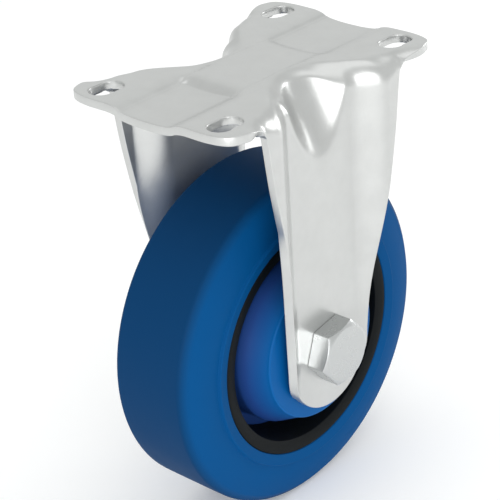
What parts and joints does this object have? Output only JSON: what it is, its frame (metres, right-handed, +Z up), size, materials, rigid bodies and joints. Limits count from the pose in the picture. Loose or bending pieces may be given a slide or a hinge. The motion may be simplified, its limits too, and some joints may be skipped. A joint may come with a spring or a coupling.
{
  "type": "fixed castor",
  "caption": "Fixed castor with a pressed zinc-plated fork and top plate, a blue rubber-tyred wheel on sealed ball bearings and a bolted axle",
  "frame": {"origin": "Centre of the bolt pattern on the upper face of the top plate", "axes": "+Z up out of the plate, X the rolling direction, Y the axle with the bolt head on the -Y side"},
  "size_m": [0.1, 0.0677, 0.13],
  "materials": {
    "zinc_sheet": "satin",
    "blue_rubber": "satin",
    "black_band": "satin",
    "blue_plastic": "satin",
    "zinc_fastener": "satin",
    "insert_plastic": "satin",
    "bearing_steel": "polished",
    "seal_rubber": "satin",
    "cage_plastic": "satin"
  },
  "bodies": {
    "fork": {"fork_bracket": "zinc_sheet", "axle_bolt": "zinc_fastener", "axle_tube": "zinc_fastener", "lock_nut": "zinc_fastener", "nut_insert": "insert_plastic", "head_side_inner_ring": "bearing_steel", "nut_side_inner_ring": "bearing_steel"},
    "wheel": {"tyre": "blue_rubber", "rim_band": "black_band", "wheel_centre": "blue_plastic", "head_side_outer_ring": "bearing_steel", "head_side_outer_seal": "seal_rubber", "head_side_inner_seal": "seal_rubber", "nut_side_outer_ring": "bearing_steel", "nut_side_outer_seal": "seal_rubber", "nut_side_inner_seal": "seal_rubber"},
    "head_side_balls": {"head_side_cage": "cage_plastic", "head_side_ball_1": "bearing_steel", "head_side_ball_2": "bearing_steel", "head_side_ball_3": "bearing_steel", "head_side_ball_4": "bearing_steel", "head_side_ball_5": "bearing_steel", "head_side_ball_6": "bearing_steel", "head_side_ball_7": "bearing_steel", "head_side_ball_8": "bearing_steel"},
    "nut_side_balls": {"nut_side_cage": "cage_plastic", "nut_side_ball_1": "bearing_steel", "nut_side_ball_2": "bearing_steel", "nut_side_ball_3": "bearing_steel", "nut_side_ball_4": "bearing_steel", "nut_side_ball_5": "bearing_steel", "nut_side_ball_6": "bearing_steel", "nut_side_ball_7": "bearing_steel", "nut_side_ball_8": "bearing_steel"}
  },
  "joints": [
    {"name": "wheel_spin", "type": "hinge", "parent": "fork", "child": "wheel", "pos_m": [0, 0, -0.08], "axis": [0, 1, 0], "continuous": true},
    {"name": "head_side_cage_spin", "type": "hinge", "parent": "fork", "child": "head_side_balls", "pos_m": [0, 0, -0.08], "axis": [0, 1, 0], "continuous": true},
    {"name": "nut_side_cage_spin", "type": "hinge", "parent": "fork", "child": "nut_side_balls", "pos_m": [0, 0, -0.08], "axis": [0, 1, 0], "continuous": true}
  ],
  "couplings": [
    {"joint": "head_side_cage_spin", "follows": "wheel_spin", "ratio": 0.619},
    {"joint": "nut_side_cage_spin", "follows": "wheel_spin", "ratio": 0.619}
  ]
}
